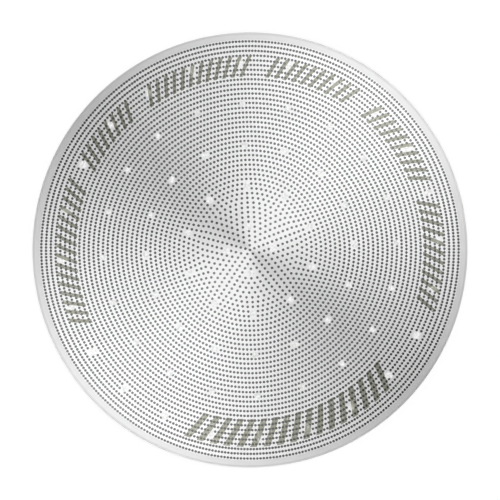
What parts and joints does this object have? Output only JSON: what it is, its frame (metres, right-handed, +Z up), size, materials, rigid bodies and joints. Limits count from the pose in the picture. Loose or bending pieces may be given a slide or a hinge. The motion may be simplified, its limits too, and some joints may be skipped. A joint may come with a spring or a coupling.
{
  "type": "espresso puck screen",
  "caption": "Round stainless steel puck screen, 53 mm across and 0.8 mm thick, finely perforated in rings inside a plain rim.",
  "frame": {"origin": "centre of the disc, on its lower face", "axes": "+Z is up through the disc; the start line of the hole rings points along +Y"},
  "size_m": [0.053, 0.053, 0.0008],
  "materials": {
    "steel": "fine circular grain, bare stainless steel"
  },
  "bodies": {
    "root": {"screen_disc": "steel"}
  },
  "joints": []
}
